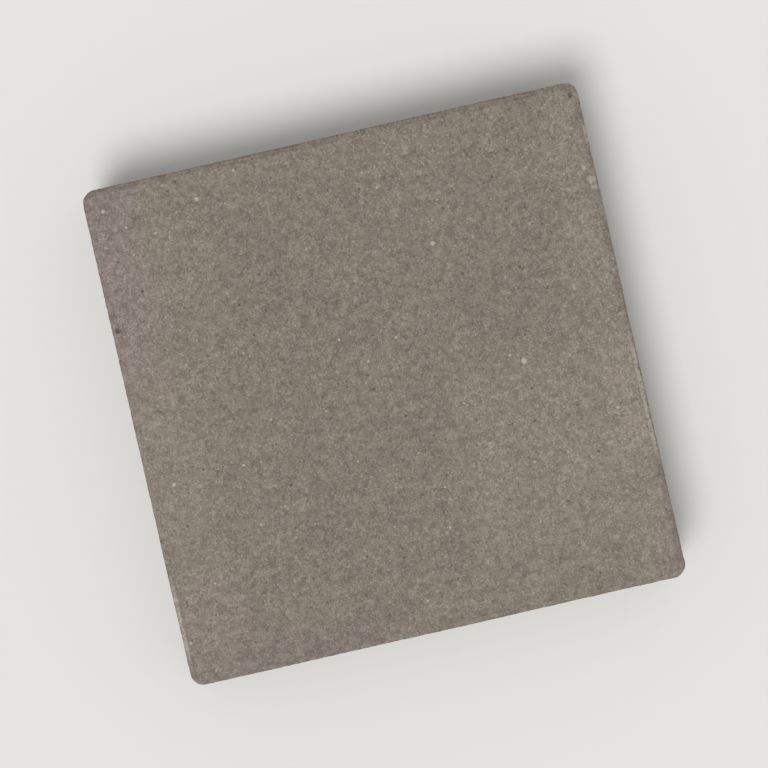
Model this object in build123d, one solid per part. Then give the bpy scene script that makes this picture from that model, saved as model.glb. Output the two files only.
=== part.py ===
from build123d import *

import os

# A square concrete paving slab, pressed in one piece in a steel mould.
# Millimetres. The slab lies as it is laid: the bedding face is on Z = 0, the walking
# face is up, and the four sides face along X and Y. The origin is the middle of the
# bedding face.

# Plan: the grid that the slabs are laid to, the joint between them and the upright corners
laying_module = 300.0
joint_width = 2.0
corner_radius = 8.0

# Height
thickness = 50.0

# Bevel that the tamper head presses round the walking face: a slope that is wider than
# it is deep, with a soft roll onto the walking face and a worn nose above the side
bevel_width = 3.5
bevel_drop = 1.2
roll_radius = 3.0
nose_radius = 0.6

# Arris that the mould board leaves round the bedding face
arris_width = 1.0

slab_side = laying_module - joint_width
nose_height = thickness - bevel_drop


def blank():
    """The slab as the mould walls shape it: upright sides and upright round corners."""
    return extrude(RectangleRounded(slab_side, slab_side, corner_radius), thickness)


def walking_face(solid):
    return solid.faces().sort_by(Axis.Z)[-1]


def bedding_face(solid):
    return solid.faces().sort_by(Axis.Z)[0]


def edges_near(solid, height, reach):
    """The edges whose middles lie within reach of this height."""
    return solid.edges().filter_by_position(Axis.Z, height - reach, height + reach)


def with_pressed_bevel(solid):
    """Slopes the rim of the walking face, then rounds the slope's foot and its head."""
    face = walking_face(solid)
    solid = chamfer(face.edges(), bevel_width, bevel_drop, reference=face)
    solid = fillet(edges_near(solid, nose_height, bevel_drop / 4), nose_radius)
    return fillet(walking_face(solid).edges(), roll_radius)


def with_bedding_arris(solid):
    """Breaks the edge round the bedding face."""
    return chamfer(bedding_face(solid).edges(), arris_width)


paving_slab = with_bedding_arris(with_pressed_bevel(blank()))

os.makedirs("parts", exist_ok=True)
export_step(paving_slab, "parts/paving_slab.step")
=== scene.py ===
import math
import random

import bpy
import numpy as np
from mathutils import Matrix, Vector, noise


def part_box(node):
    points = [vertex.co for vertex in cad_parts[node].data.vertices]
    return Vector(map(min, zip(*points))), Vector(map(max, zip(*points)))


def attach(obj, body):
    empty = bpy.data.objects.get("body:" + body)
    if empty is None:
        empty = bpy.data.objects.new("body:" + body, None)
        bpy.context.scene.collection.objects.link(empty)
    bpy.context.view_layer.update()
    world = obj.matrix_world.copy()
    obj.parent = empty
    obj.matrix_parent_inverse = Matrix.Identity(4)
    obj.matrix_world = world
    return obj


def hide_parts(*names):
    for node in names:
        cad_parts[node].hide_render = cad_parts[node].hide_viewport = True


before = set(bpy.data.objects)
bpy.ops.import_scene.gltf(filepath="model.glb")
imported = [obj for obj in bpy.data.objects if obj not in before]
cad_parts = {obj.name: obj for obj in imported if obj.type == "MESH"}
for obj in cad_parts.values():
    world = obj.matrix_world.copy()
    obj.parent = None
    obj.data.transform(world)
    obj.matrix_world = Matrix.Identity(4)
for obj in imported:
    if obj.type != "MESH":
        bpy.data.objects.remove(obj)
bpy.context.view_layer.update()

# A concrete paving slab lying flat, walking face up, in metres.
# The box comes from the solid in model.glb, and the other sizes repeat the solid's own.
MM = 0.001
low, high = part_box("paving_slab")
half_side = (high.x - low.x) / 2
thickness = high.z - low.z
corner_radius = 8.0 * MM
bevel_width = 3.5 * MM
bevel_drop = 1.2 * MM
roll_radius = 3.0 * MM
nose_radius = 0.6 * MM
arris_width = 1.0 * MM

# Mesh layout: of the points round the plan, the rim takes all, the face and sides each second
# one and the underside each fourth one
straight_steps = 388
corner_steps = 6
FINE, MEDIUM, COARSE = 1, 2, 4
rim_width = 6.5 * MM
rim_depth = 5.5 * MM
foot_width = 6.0 * MM
rim_rows = 4
arc_rows = 3
slope_rows = 4
flank_rows = 4
side_rows = 21
foot_rows = 3

# Camera and light; the picture is this wide at the level of the walking face
picture_width = 0.450
picture_turn = math.radians(12.85)
camera_lens = 100.0
camera_sensor = 36.0
sky_share = 0.5
key_tilt = math.radians(30)
key_turn = math.radians(-35)
key_spread = math.radians(30)
floor_reach = 40.0

draw = random.Random(31)


# Plan and section of the slab

def side_outline(inset):
    """The plan's -Y side at this inset, from the middle of one corner's arc to the middle of the next."""
    centre = half_side - corner_radius
    radius = corner_radius - inset
    turn = np.linspace(0, math.pi / 4, corner_steps + 1)
    start = np.stack([-centre - radius * np.sin(math.pi / 4 - turn),
                      -centre - radius * np.cos(math.pi / 4 - turn)], 1)
    along = np.linspace(-centre, centre, straight_steps + 1)
    middle = np.stack([along, np.full_like(along, inset - half_side)], 1)
    end = np.stack([centre + radius * np.sin(turn), -centre - radius * np.cos(turn)], 1)
    return np.concatenate([start[:-1], middle, end[1:-1]])


def outline(inset, stride):
    """The plan's whole outline at this inset, counter-clockwise seen from above."""
    x, y = side_outline(inset).T
    turned = [np.stack(pair, 1) for pair in ((x, y), (-y, x), (-x, -y), (y, -x))]
    return np.concatenate(turned)[::stride]


def plan_spoke(plan):
    """From the nearest point of the square through the corners' centres to these points."""
    centre = half_side - corner_radius
    return plan - np.clip(plan, -centre, centre)


def plan_normal(plan):
    """The direction straight out of the slab's outline at points on it."""
    spoke = plan_spoke(plan)
    return spoke / np.linalg.norm(spoke, axis=-1, keepdims=True)


def rim_section():
    """(inset, depth below the walking face), from the flat face over the bevel and nose to the side."""
    slope = math.atan2(bevel_drop, bevel_width)
    roll_start = bevel_width + roll_radius * math.tan(slope / 2)
    nose_end = bevel_drop + nose_radius * math.tan((math.pi / 2 - slope) / 2)
    flat = [(inset, 0.0) for inset in np.linspace(rim_width, roll_start, rim_rows + 1)[1:]]
    roll = [(roll_start - roll_radius * math.sin(turn), roll_radius * (1 - math.cos(turn)))
            for turn in np.linspace(0, slope, arc_rows)[1:]]
    nose = [(nose_radius * (1 - math.sin(turn)), nose_end - nose_radius * math.cos(turn))
            for turn in np.linspace(slope, math.pi / 2, arc_rows + 1)]
    steps = np.linspace(0, 1, slope_rows + 1)[1:-1]
    ramp = [tuple(np.array(roll[-1]) * (1 - step) + np.array(nose[0]) * step) for step in steps]
    flank = [(0.0, depth) for depth in np.linspace(nose_end, rim_depth, flank_rows + 1)[1:]]
    return flat + roll + ramp + nose + flank


# Mesh of the slab

def patch(ring):
    """Fills a closed ring with a square grid of points, each blended from the ring's four sides."""
    n = len(ring) // 4
    sides = [np.take(ring, range(k * n, k * n + n + 1), axis=0, mode="wrap") for k in range(4)]
    bottom, right, top, left = sides[0], sides[1], sides[2][::-1], sides[3][::-1]
    u = np.linspace(0, 1, n + 1)[:, None, None]
    v = np.linspace(0, 1, n + 1)[None, :, None]
    across = (1 - v) * bottom[:, None] + v * top[:, None] + (1 - u) * left[None] + u * right[None]
    corners = (1 - v) * ((1 - u) * bottom[0] + u * bottom[-1]) + v * ((1 - u) * top[0] + u * top[-1])
    return across - corners


class Skin:
    """Collects the points and faces of one closed surface."""

    def __init__(self):
        self.points = []
        self.faces = []
        self.count = 0

    def add(self, plan, height):
        """Adds points at one height and returns their numbers, laid out as the plan is."""
        flat = plan.reshape(-1, 2)
        self.points.append(np.column_stack([flat, np.full(len(flat), height)]))
        numbers = np.arange(self.count, self.count + len(flat))
        self.count += len(flat)
        return numbers.reshape(plan.shape[:-1])

    def add_patch(self, plan, height, up):
        """Adds a grid with its faces and returns the numbers of its border, as a ring."""
        grid = self.add(plan, height)
        corners = [grid[:-1, :-1], grid[1:, :-1], grid[1:, 1:], grid[:-1, 1:]]
        quads = np.stack(corners if up else corners[::-1], -1)
        self.faces += quads.reshape(-1, 4).tolist()
        return np.concatenate([grid[:-1, 0], grid[-1, :-1], grid[:0:-1, -1], grid[0, :0:-1]])

    def join(self, upper, lower):
        """Joins two rings, of which one may have twice as many points."""
        if len(upper) == len(lower):
            quads = [upper, lower, np.roll(lower, -1), np.roll(upper, -1)]
            self.faces += np.stack(quads, 1).tolist()
        elif len(lower) > len(upper):
            self.fan(upper, lower, flipped=False)
        else:
            self.fan(lower, upper, flipped=True)

    def fan(self, few, many, flipped):
        """Joins each step of one ring to two steps of the other, with three triangles."""
        after = np.roll(few, -1)
        first, second, third = many[::2], many[1::2], np.roll(many, -2)[::2]
        for triangle in ([few, first, second], [few, second, after], [after, second, third]):
            self.faces += np.stack(triangle[::-1] if flipped else triangle, 1).tolist()


def slab_skin():
    """The whole surface of the slab, before any wear."""
    skin = Skin()
    ring = skin.add_patch(patch(outline(rim_width, MEDIUM)), thickness, up=True)
    rows = [(inset, thickness - depth, FINE) for inset, depth in rim_section()]
    rows += [(0.0, height, MEDIUM)
             for height in np.linspace(thickness - rim_depth, arris_width, side_rows + 1)[1:]]
    rows += [(inset, 0.0, MEDIUM) for inset in np.linspace(arris_width, foot_width, foot_rows + 1)[:-1]]
    for inset, height, stride in rows:
        lower = skin.add(outline(inset, stride), height)
        skin.join(ring, lower)
        ring = lower
    skin.join(ring, skin.add_patch(patch(outline(foot_width, COARSE)), 0.0, up=False))
    return np.concatenate(skin.points), skin.faces


# Relief: everything is taken off the ideal surface, so the slab stays inside its box

def ease(value, start, end):
    """Goes smoothly from 0, where the value is start, to 1, where it is end."""
    step = np.clip((value - start) / (end - start), 0, 1)
    return step * step * (3 - 2 * step)


def ripple(points, size, octaves, shift):
    """Smooth noise at each point, about -1 to 1, with waves of about this size.

    The shift sets one noise apart from the next.
    """
    move = Vector((shift, shift, shift))
    return np.array([noise.fractal(Vector(point) / size + move, 1.0, 2.0, octaves) for point in points])


def zones(normals):
    """How far each point belongs to the walking face, the sides and the underside."""
    walked = ease(normals[:, 2], 0.5, 0.97)
    bedded = ease(-normals[:, 2], 0.3, 0.9)
    return walked, 1 - walked - bedded, bedded


def worn_away(points, normals):
    """How deep the wear and the texture go at each point."""
    walked, side, bedded = zones(normals)
    low_down = 1 - points[:, 2] / thickness

    # Long waves, short waves and single grains, in mm
    swell = walked * 0.12 + side * 0.22 + bedded * 0.35
    lumps = walked * 0.05 + side * (0.10 + 0.15 * low_down) + bedded * 0.30
    grit = walked * 0.04 + side * (0.08 + 0.10 * low_down) + bedded * 0.16
    scatter = np.array([draw.random() for _ in points])
    depth = swell * (0.4 + ripple(points, 70 * MM, 2, 3.0))
    depth += lumps * (0.3 + ripple(points, 5 * MM, 3, 9.0))
    depth += grit * scatter

    # Upright marks on the sides, where the slab was pushed out of its mould
    drag = ripple(points * (1, 1, 0.08), 2.5 * MM, 2, 17.0)
    depth += side * 0.08 * np.maximum(drag, 0)

    # A crumbly line along the nose and along the foot
    inset = corner_radius - np.linalg.norm(plan_spoke(points[:, :2]), axis=1)
    nose = ease(np.hypot(inset, points[:, 2] - thickness + bevel_drop), 2.0 * MM, 0.5 * MM)
    foot = ease(np.hypot(inset, points[:, 2]), 3.0 * MM, 0.8 * MM)
    crumbly = 0.25 * np.maximum(ripple(points, 4 * MM, 3, 23.0) + 0.2, 0) + 0.25 * scatter[::-1]
    depth += np.maximum(nose, foot) * crumbly
    return np.maximum(depth, 0) * MM


def pit(points, depth, centre, radius, ratio):
    """Deepens the relief by a round hole; the ratio is its depth to its radius."""
    gap = np.linalg.norm(points - centre, axis=1)
    hole = np.sqrt(np.maximum(radius ** 2 - gap ** 2, 0)) * ratio
    np.maximum(depth, hole, out=depth)


# Two pits that the photograph shows in the walking face, in mm from its middle: x, y and radius
pit_spots = [(-145, 65, 1.5), (144, 141, 1.3)]

# How many blow holes are scattered in the walking face, the sides and the underside
face_holes = 26
side_holes = 90
foot_holes = 240

# Chips along the rim and the foot: how many on each side from -Y counter-clockwise, and the least and most,
# in mm, of the ball that cuts one and of how deep it goes
small_chips = ((40, 40, 90, 40), (1.2, 3.0), (0.3, 0.8))
flakes = ((6, 7, 16, 6), (3.0, 7.0), (0.6, 1.3))
foot_chips = ((18, 18, 18, 18), (3.0, 9.0), (0.8, 2.0))
chip_reach = 6 * MM
crumble_depth = 0.3 * MM


def pits(points, depth):
    """Blow holes: a few shallow ones in the walking face, more and deeper ones elsewhere."""
    for x, y, radius in pit_spots:
        pit(points, depth, (x * MM, y * MM, thickness), radius * MM, 0.5)
    reach = half_side - rim_width
    for _ in range(face_holes):
        centre = (draw.uniform(-reach, reach), draw.uniform(-reach, reach), thickness)
        pit(points, depth, centre, draw.uniform(1.0, 1.9) * MM, draw.uniform(0.2, 0.45))
    border = outline(0.0, FINE)
    for _ in range(side_holes):
        x, y = border[draw.randrange(len(border))]
        centre = (x, y, draw.uniform(2 * MM, thickness - rim_depth))
        pit(points, depth, centre, (1.8 + 2.4 * draw.random() ** 3) * MM, draw.uniform(0.25, 0.55))
    for _ in range(foot_holes):
        centre = (draw.uniform(-reach, reach), draw.uniform(-reach, reach), 0.0)
        pit(points, depth, centre, (1.8 + 3.5 * draw.random() ** 3) * MM, draw.uniform(0.2, 0.5))


def bite(points, broken, near, centre, radius):
    """Pushes the points inside a ball to its surface, as where a flake has come off."""
    spoke = points[near] - centre
    reach = np.linalg.norm(spoke, axis=1)
    inside = near[reach < radius]
    spoke, reach = spoke[reach < radius], reach[reach < radius]
    points[inside] = centre + spoke * (radius / reach)[:, None]
    broken[inside] = np.maximum(broken[inside], ease(radius - reach, 0.05 * MM, 0.3 * MM))


def bites(points, broken, height, rise, counts, sizes, cuts):
    """Chips along the edge that runs round the slab at this height.

    Rise is 1 for an upper edge and -1 for a lower one.
    """
    near = np.flatnonzero(np.abs(points[:, 2] - height) < chip_reach)
    border = outline(0.0, FINE)
    per_side = len(border) // 4
    for side, count in enumerate(counts):
        for _ in range(count):
            plan = border[side * per_side + draw.randrange(per_side)]
            radius = draw.uniform(*sizes) * MM
            cut = draw.uniform(*cuts) * MM
            tilt = math.radians(draw.uniform(20, 70))
            out = np.append(plan_normal(plan) * math.cos(tilt), rise * math.sin(tilt))
            edge = np.append(plan, height)
            bite(points, broken, near, edge + out * (radius - cut), radius)


def add_attribute(mesh, name, values):
    """Keeps one number a point under this name, for the material to read."""
    mesh.attributes.new(name, "FLOAT", "POINT").data.foreach_set("value", values.astype(np.float32))


def read(items, name, width):
    """One property of all items of a mesh, as an array with this many numbers a row."""
    values = np.empty(len(items) * width, np.float32)
    items.foreach_get(name, values)
    return values.reshape(-1, width)


# Unwrapping, with the sides as four strips beside the walking face and the underside small in the corner;
# the shares and the gap are parts of the bake's width

island_gap = 0.012
face_share = 0.70
foot_share = 0.272
face_scale = face_share / (2 * half_side)
foot_scale = foot_share / (2 * half_side)
strip_height = thickness * face_scale


def unwrap(mesh):
    """Gives each face corner its place in the bake's square."""
    corner_of = np.empty(len(mesh.loops), np.int32)
    mesh.loops.foreach_get("vertex_index", corner_of)
    place = read(mesh.vertices, "co", 3)[corner_of]
    totals = read(mesh.polygons, "loop_total", 1)[:, 0].astype(int)
    normal = np.repeat(read(mesh.polygons, "normal", 3), totals, axis=0)
    top_edge = island_gap + face_share
    uv = np.empty((len(place), 2))

    face = normal[:, 2] > 0.5
    uv[face] = island_gap / 2 + (place[face, :2] + half_side) * face_scale
    foot = normal[:, 2] < -0.5
    uv[foot] = top_edge + (place[foot, :2] * (1, -1) + half_side) * foot_scale

    centre = half_side - corner_radius
    for side in range(4):
        cos, sin = round(math.cos(side * math.pi / 2)), round(math.sin(side * math.pi / 2))
        x, y = place[:, 0] * cos + place[:, 1] * sin, place[:, 1] * cos - place[:, 0] * sin
        facing = normal[:, 1] * cos - normal[:, 0] * sin
        sideways = normal[:, 0] * cos + normal[:, 1] * sin
        mine = ~face & ~foot & (facing < 0) & (-facing >= np.abs(sideways))
        bend = np.arctan2(np.maximum(np.abs(x) - centre, 0), -y - centre)
        along = np.sign(x) * (np.minimum(np.abs(x), centre) + bend * corner_radius)
        strip = np.stack([along + half_side, place[:, 2]], 1) * face_scale
        strip[:, 1] += top_edge + (side % 2) * (strip_height + island_gap)
        strip[:, 0] += island_gap / 2
        turned = strip[:, ::-1] * (1, -1) + (0, top_edge)
        uv[mine] = strip[mine] if side < 2 else turned[mine]
    mesh.uv_layers.new(name="OFBake").data.foreach_set("uv", uv.astype(np.float32).ravel())


def build_slab():
    """The worn slab as one closed mesh, in place of the plain solid."""
    points, faces = slab_skin()
    mesh = bpy.data.meshes.new("slab")
    mesh.from_pydata(points.tolist(), [], faces)
    unwrap(mesh)
    normals = read(mesh.vertices, "normal", 3)
    walked, side, bedded = zones(normals)
    depth = worn_away(points, normals)
    pits(points, depth)
    points = points - normals * depth[:, None]
    broken = np.zeros(len(points))
    rubble = np.array([draw.random() for _ in points])
    nose_height = thickness - bevel_drop
    bites(points, broken, nose_height, 1, *small_chips)
    bites(points, broken, nose_height, 1, *flakes)
    bites(points, broken, 0.0, -1, *foot_chips)
    points -= normals * (broken * rubble * crumble_depth)[:, None]
    points[:, 2] = np.clip(points[:, 2], 0, thickness)
    mesh.vertices.foreach_set("co", points.astype(np.float32).ravel())
    add_attribute(mesh, "walked", walked)
    add_attribute(mesh, "bedded", bedded)
    add_attribute(mesh, "broken", broken)
    mesh.shade_smooth()
    mesh.update()
    slab = bpy.data.objects.new("slab", mesh)
    bpy.context.scene.collection.objects.link(slab)
    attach(slab, "root")
    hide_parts("paving_slab")
    return slab


# Materials

def shade(red, green, blue):
    """A colour as it shows on a screen, each part 0 to 255, as the linear colour that a shader takes."""
    return (*(((part / 255 + 0.055) / 1.055) ** 2.4 for part in (red, green, blue)), 1.0)


paste_colour = shade(130.4, 120.8, 109.6)
quartz_colour = shade(186, 179, 167)
# Painted shade in the pores' hollows, with some dirt
pore_shade_colour = shade(58, 50, 42)
# Dirt together with painted shade on the rim of the walking face
dirt_and_shade_colour = shade(84, 74, 62)
# Dark streaks of dirt and painted shade along the bevel's head
streak_dirt_and_shade_colour = shade(82, 72, 60)
# Light streaks of rubbed wear and painted highlight on the rim
rubbed_and_highlit_colour = shade(178, 169, 157)
broken_colour = shade(150, 141, 128)
soil_colour = shade(98, 84, 68)
sand_colour = shade(146, 133, 112)
floor_colour = shade(229, 228, 225)
backdrop_colour = shade(232, 231, 228)
mauve_tint = (1.025, 0.985, 1.06)

# Sand of three sizes: the size, a grain's least radius as a share of it, the share of the places that have
# a grain, and the greens of the grains' shades, from dark to light. All the shades have one hue.
coarse_sand = (3.8 * MM, 0.24, 0.6, (94, 112, 132, 152))
middle_sand = (1.9 * MM, 0.30, 0.7, (84, 108, 134, 164))
fine_sand = (0.9 * MM, 0.40, 1.0, (78, 110, 132, 172))
red_over_green = 9.5
green_over_blue = 10.6


class Graph:
    """The nodes of a material or a world, each made by one short call that returns its output."""

    def __init__(self, owner):
        owner.use_nodes = True
        self.tree = owner.node_tree
        self.tree.nodes.clear()

    def make(self, kind, inputs, **settings):
        """Adds a node, with each input set to a value or linked to an output, and returns its outputs."""
        made = self.tree.nodes.new(kind)
        for name, value in settings.items():
            setattr(made, name, value)
        for name, value in inputs.items():
            if isinstance(value, bpy.types.NodeSocket):
                self.tree.links.new(value, made.inputs[name])
            else:
                made.inputs[name].default_value = value
        return made.outputs

    def math(self, operation, first, second=0.0):
        return self.make("ShaderNodeMath", {0: first, 1: second}, operation=operation)[0]

    def add(self, first, second):
        return self.math("ADD", first, second)

    def less(self, first, second):
        return self.math("SUBTRACT", first, second)

    def times(self, first, second):
        return self.math("MULTIPLY", first, second)

    def most(self, first, second):
        return self.math("MAXIMUM", first, second)

    def ease(self, value, start, end, low=0.0, high=1.0):
        """Goes smoothly from low, where the value is start, to high, where it is end."""
        return self.make("ShaderNodeMapRange", {0: value, 1: start, 2: end, 3: low, 4: high},
                         interpolation_type="SMOOTHSTEP")[0]

    def attribute(self, name):
        return self.make("ShaderNodeAttribute", {}, attribute_name=name)["Fac"]

    def noise(self, place, size, detail=2.0, roughness=0.5):
        return self.make("ShaderNodeTexNoise", {"Vector": place, "Scale": 1 / size, "Detail": detail,
                                                "Roughness": roughness})["Fac"]

    def stray(self, place, size, reach, detail=2.0):
        """The place, moved about by noise of this size, mostly within half of this reach."""
        wander = self.make("ShaderNodeTexNoise",
                           {"Vector": place, "Scale": 1 / size, "Detail": detail})["Color"]
        moved = self.make("ShaderNodeVectorMath", {0: wander, 1: (reach,) * 3, 2: place},
                          operation="MULTIPLY_ADD")[0]
        return self.make("ShaderNodeVectorMath", {0: moved, 1: (reach / 2,) * 3}, operation="SUBTRACT")[0]

    def cells(self, place, size):
        """Scattered cells: how far the nearest one's middle is, in sizes, and three numbers of its own."""
        made = self.make("ShaderNodeTexVoronoi", {"Vector": place, "Scale": 1 / size})
        own = self.make("ShaderNodeSeparateColor", {0: made["Color"]})
        return made["Distance"], list(own)

    def axes(self, vector):
        return list(self.make("ShaderNodeSeparateXYZ", {0: vector}))

    def mix(self, factor, first, second):
        return self.make("ShaderNodeMix", {0: factor, 6: first, 7: second}, data_type="RGBA")[2]

    def product(self, first, second):
        """Two vectors multiplied part by part."""
        return self.make("ShaderNodeVectorMath", {0: first, 1: second}, operation="MULTIPLY")[0]

    def scaled(self, colour, factor):
        """A colour times a number."""
        return self.make("ShaderNodeVectorMath", {0: colour, "Scale": factor}, operation="SCALE")[0]

    def ramp(self, value, stops):
        made = self.tree.nodes.new("ShaderNodeValToRGB")
        self.tree.links.new(value, made.inputs[0])
        band = made.color_ramp
        while len(band.elements) < len(stops):
            band.elements.new(1.0)
        for element, (place, colour) in zip(band.elements, stops):
            element.position = place
            element.color = shade(*colour)
        return made.outputs[0]


def inset_from_edge(g, place):
    """How far a point lies inside the plan's outline."""
    centre = half_side - corner_radius
    beyond = [g.less(g.math("ABSOLUTE", axis), centre) for axis in g.axes(place)[:2]]
    spread = [g.most(value, 0.0) for value in beyond]
    length = g.math("SQRT", g.add(g.times(spread[0], spread[0]), g.times(spread[1], spread[1])))
    within = g.math("MINIMUM", g.most(*beyond), 0.0)
    return g.less(corner_radius, g.add(length, within))


def spots(g, place, rounds):
    """1 in round spots of the walking face, given in mm as x, y and radius, and 0 outside them."""
    least = 2.0
    for x, y, radius in rounds:
        gap = g.make("ShaderNodeVectorMath", {0: place, 1: (x * MM, y * MM, thickness)},
                     operation="DISTANCE")["Value"]
        least = g.math("MINIMUM", least, g.times(gap, 1 / (radius * MM)))
    return g.ease(least, 1.3, 0.7)


def bars(g, place, boxes):
    """Soft-edged boxes of the walking face, given by middle and half sizes in mm and by strength."""
    x, y, _ = g.axes(place)
    total = 0.0
    for middle_x, middle_y, reach_x, reach_y, strength in boxes:
        for axis, middle, reach in ((x, middle_x, reach_x), (y, middle_y, reach_y)):
            gap = g.math("ABSOLUTE", g.less(axis, middle * MM))
            strength = g.times(strength, g.ease(gap, reach * 1.3 * MM, reach * 0.7 * MM))
        total = g.most(total, strength)
    return total


def tones(*levels):
    """Even stops of a ramp through shades of the same hue, each given as its green on a screen."""
    return [(step / (len(levels) - 1), (level + red_over_green, level, level - green_over_blue))
            for step, level in enumerate(levels)]


def grains(g, place, size, core, share, levels):
    """Sand grains: how far a point is on one, from 0 to 1, and the grain's own colour."""
    distance, own = g.cells(place, size)
    edge = g.add(core, g.times(own[0], 0.25))
    there = g.ease(own[2], 1.0 - share, 1.02 - share)
    return g.times(g.ease(g.less(distance, edge), 0.06, -0.06), there), g.ramp(own[1], tones(*levels))


# Marks that the photograph shows at single places of the walking face, in mm from its middle: spots as x, y
# and radius; streaks and patches as middle x and y, half sizes and strength
quartz_spots = [(83, -5, 1.6), (-83, 130, 1.2), (-111, 116, 0.8), (46, 74, 1.3), (13, 25, 0.8),
                (-20, 31, 0.8), (-6, 15, 0.8), (-127, 123, 0.8), (-138, 135, 1.0), (-133, -30, 1.2)]
light_streaks = [(146.7, -40, 1.2, 34, 0.75), (148.0, 117, 1.0, 5, 0.75), (145.6, 88, 2.0, 4, 0.75),
                 (142.5, 98, 1.4, 2, 0.75), (-147.4, -110, 1.2, 22, 0.75)]
dark_streaks = [(114, 145.6, 8, 0.5, 0.5), (60, 145.8, 14, 0.4, 0.5), (-40, 145.7, 22, 0.35, 0.5)]
light_patches = [(-152, -15, 36, 150, 0.08), (152, 0, 30, 170, 0.06), (85, -65, 50, 50, 0.08),
                 (150, -38, 30, 40, 0.21), (-150, -20, 24, 50, 0.10), (-102, 88, 22, 72, 0.045)]
dark_patches = [(45, 60, 70, 60, 0.035), (-50, 60, 50, 70, 0.035), (-10, -60, 52, 60, 0.04),
                (-95, -148, 70, 20, 0.05)]
mauve_patches = [(-155, 115, 32, 85, 0.9), (-105, -161, 80, 30, 0.7), (-128, -114, 18, 24, 0.6),
                 (156, -152, 24, 45, 0.6)]


def paste_and_sand(g, place, bent):
    """Mottled cement paste with sand: the colour, and where the middle and the fine grains are."""
    coarse_on, coarse = grains(g, bent, *coarse_sand)
    middle_on, middle = grains(g, bent, *middle_sand)
    fine_on, fine = grains(g, bent, *fine_sand)
    clear = g.ease(g.noise(place, 34 * MM, 1.0), 0.3, 0.65, 0.65, 1.0)  # where the larger sand shows more
    mottle = g.noise(place, 5.0 * MM, 4.0, 0.68)
    colour = g.scaled(paste_colour[:3], g.ease(mottle, 0.25, 0.75, 0.70, 1.30))
    colour = g.mix(g.times(fine_on, 0.45), colour, fine)
    colour = g.mix(g.times(g.times(clear, middle_on), 0.55), colour, middle)
    colour = g.mix(g.times(g.times(clear, coarse_on), 0.55), colour, coarse)
    return colour, middle_on, fine_on


def clouded(g, place, colour, walked, side):
    """The colour with clouds of tone, drag streaks on the sides and the walking face's tinted areas."""
    tone = g.ease(g.noise(place, 80 * MM, 2.0), 0.3, 0.7, 0.992, 1.008)
    tone = g.add(tone, g.ease(g.noise(place, 14 * MM, 2.0, 0.6), 0.3, 0.7, -0.048, 0.048))
    drag = g.noise(g.product(place, (1, 1, 0.07)), 1.8 * MM, 3.0)
    tone = g.add(tone, g.times(side, g.ease(drag, 0.3, 0.7, -0.07, 0.07)))
    strayed = g.stray(place, 22 * MM, 34 * MM, 3.0)
    tone = g.add(tone, g.times(walked, bars(g, strayed, light_patches)))
    tone = g.less(tone, g.times(walked, bars(g, strayed, dark_patches)))
    colour = g.scaled(colour, tone)
    mauve = g.times(walked, bars(g, strayed, mauve_patches))
    return g.mix(mauve, colour, g.product(colour, mauve_tint))


def bright_quartz(g, place, bent):
    """How far each point is on a quartz grain, scattered or at one of the single places."""
    gap, own = g.cells(place, 11 * MM)
    scattered = g.times(g.ease(gap, 0.085, 0.05), g.ease(own[0], 0.65, 0.7))
    return g.most(scattered, spots(g, bent, quartz_spots))


def dark_pores(g, bent, speckle, walked):
    """How far each point is in a pore, with more and larger ones away from the walking face."""
    gap, own = g.cells(bent, 5 * MM)
    chance = g.most(g.less(own[2], g.ease(walked, 0.0, 1.0, 0.15, 0.55)), 0.0)
    reach = g.times(g.times(chance, chance), g.ease(walked, 0.0, 1.0, 0.42, 0.9))
    scattered = g.ease(g.less(g.add(gap, g.times(speckle, 0.12)), reach), 0.08, -0.06)
    scattered = g.times(scattered, g.ease(own[1], 0.0, 1.0, 0.35, 1.0))
    return g.most(scattered, spots(g, bent, pit_spots))


def marked_rim(g, place, bent, speckle, colour, walked, broken):
    """The colour with the dirt, wear, painted shade and painted highlight on the rim of the walking face.

    That is dirt and painted shade over the bevel, on the nose and in a broken line along the bevel's head,
    single dark streaks of dirt and painted shade, light streaks of rubbed wear and painted highlight, and
    fresh concrete where the nose is chipped.
    """
    frayed = g.add(inset_from_edge(g, place), g.times(speckle, 2.0 * MM))
    # Dirt and painted shade: a darker band over the bevel, soil with painted shade on the nose, and a
    # broken dark line along the bevel's head
    bevel_band = g.ease(frayed, 6.0 * MM, 4.0 * MM, 0.0, 0.08)
    nose_soil_and_shade = g.ease(frayed, 2.2 * MM, 0.9 * MM, 0.0, 0.5)
    head = g.ease(g.math("ABSOLUTE", g.less(frayed, 4.8 * MM)), 0.9 * MM, 0.2 * MM)
    head = g.times(head, g.ease(g.noise(place, 12 * MM, 3.0, 0.6), 0.45, 0.6, 0.0, 0.28))
    dirt_and_shade = g.times(g.most(head, g.most(bevel_band, nose_soil_and_shade)), walked)
    colour = g.mix(dirt_and_shade, colour, dirt_and_shade_colour)
    # Dark streaks along the bevel's head on the +Y side: dirt and painted shade
    patchy_dark = g.times(walked, g.ease(speckle, 0.42, 0.55))
    colour = g.mix(g.times(bars(g, place, dark_streaks), patchy_dark), colour, streak_dirt_and_shade_colour)
    # Light streaks on the side rims: rubbed wear and a painted highlight on the bevel
    patchy_light = g.times(walked, g.ease(speckle, 0.38, 0.54))
    colour = g.mix(g.times(bars(g, bent, light_streaks), patchy_light), colour, rubbed_and_highlit_colour)
    return g.mix(g.times(g.times(broken, walked), 0.35), colour, broken_colour)


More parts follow.
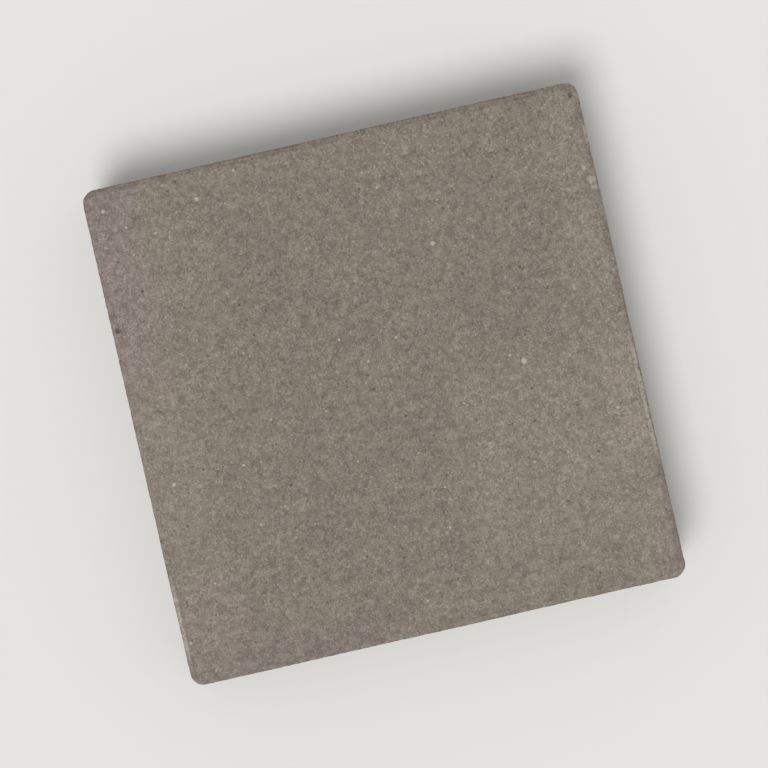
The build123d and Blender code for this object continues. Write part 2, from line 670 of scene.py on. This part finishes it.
def concrete():
    material = bpy.data.materials.new("concrete")
    g = Graph(material)
    place = g.make("ShaderNodeTexCoord", {})["Object"]
    bent = g.stray(place, 1.5 * MM, 1.3 * MM)
    speckle = g.noise(place, 2.2 * MM, 3.0, 0.7)
    walked = g.attribute("walked")
    bedded = g.attribute("bedded")
    broken = g.attribute("broken")
    side = g.less(g.less(1.0, walked), bedded)

    colour, middle_on, fine_on = paste_and_sand(g, place, bent)
    colour = clouded(g, place, colour, walked, side)
    quartz = bright_quartz(g, place, bent)
    milky = g.ease(g.noise(place, 0.7 * MM, 2.0), 0.35, 0.6, 0.5, 0.9)
    colour = g.mix(g.times(quartz, milky), colour, quartz_colour)
    pores = dark_pores(g, bent, speckle, walked)
    # The pores are darkened with painted shade of their hollows and some dirt
    colour = g.mix(g.times(pores, g.ease(walked, 0.0, 1.0, 0.62, 0.5)), colour, pore_shade_colour)
    colour = marked_rim(g, place, bent, speckle, colour, walked, broken)

    # Soil on the sides and bedding sand on the underside
    soiled = g.times(side, g.ease(g.noise(place, 14 * MM, 4.0, 0.6), 0.3, 0.75, 0.15, 0.45))
    colour = g.mix(soiled, colour, soil_colour)
    sanded = g.times(bedded, g.ease(g.noise(place, 26 * MM, 5.0, 0.65), 0.35, 0.7, 0.1, 0.5))
    colour = g.mix(sanded, colour, sand_colour)

    # Relief too fine for the mesh: grains and grit, coarser away from the walking face, and pores
    height = g.add(g.times(middle_on, 0.25), g.times(fine_on, 0.25))
    height = g.add(height, g.noise(place, 0.9 * MM, 3.0, 0.7))
    coarser = g.times(g.noise(place, 2.8 * MM, 3.0, 0.6), 1.8)
    height = g.add(height, g.times(g.less(1.0, walked), coarser))
    height = g.less(height, g.times(pores, 3.0))
    bump = g.make("ShaderNodeBump", {"Strength": 0.7, "Distance": 0.35 * MM, "Height": height})[0]
    rough = g.less(g.ease(speckle, 0.3, 0.7, 0.84, 0.95), g.times(quartz, 0.4))

    surface = g.make("ShaderNodeBsdfPrincipled", {"Base Color": colour, "Roughness": rough, "Normal": bump})
    g.make("ShaderNodeOutputMaterial", {"Surface": surface[0]})
    return material


def pale_floor():
    material = bpy.data.materials.new("floor")
    g = Graph(material)
    surface = g.make("ShaderNodeBsdfPrincipled", {"Base Color": floor_colour, "Roughness": 0.9})
    g.make("ShaderNodeOutputMaterial", {"Surface": surface[0]})
    return material


# Scene

def build_floor():
    corners = [(x * floor_reach, y * floor_reach, 0) for x, y in ((-1, -1), (1, -1), (1, 1), (-1, 1))]
    mesh = bpy.data.meshes.new("floor")
    mesh.from_pydata(corners, [], [(0, 1, 2, 3)])
    mesh.materials.append(pale_floor())
    floor = bpy.data.objects.new("floor", mesh)
    bpy.context.scene.collection.objects.link(floor)


def build_camera():
    """Straight above the slab, turned so that the slab leans as in the photograph."""
    data = bpy.data.cameras.new("camera")
    data.lens = camera_lens
    data.sensor_width = camera_sensor
    camera = bpy.data.objects.new("camera", data)
    camera.location = (0, 0, thickness + picture_width * camera_lens / camera_sensor)
    camera.rotation_euler = (0, 0, -picture_turn)
    bpy.context.scene.collection.objects.link(camera)
    bpy.context.scene.camera = camera


def build_light():
    """A soft sky with a wide soft key light; together they light a level face at a plain 1.

    The camera and the reflections see a backdrop as pale as the floor, with no horizon line.
    """
    data = bpy.data.lights.new("key", "SUN")
    data.energy = (1 - sky_share) * math.pi / math.cos(key_tilt)
    data.angle = key_spread
    key = bpy.data.objects.new("key", data)
    key.rotation_euler = (key_tilt, 0, key_turn)
    bpy.context.scene.collection.objects.link(key)
    world = bpy.data.worlds.new("world")
    g = Graph(world)
    ray = g.make("ShaderNodeLightPath", {})
    seen = g.most(ray["Is Camera Ray"], ray["Is Glossy Ray"])
    light = g.mix(seen, (sky_share, sky_share, sky_share, 1.0), backdrop_colour)
    background = g.make("ShaderNodeBackground", {"Color": light})
    g.make("ShaderNodeOutputWorld", {"Surface": background[0]})
    bpy.context.scene.world = world


slab = build_slab()
slab.data.materials.append(concrete())
build_floor()
build_camera()
build_light()
bpy.context.scene.view_settings.view_transform = "Standard"
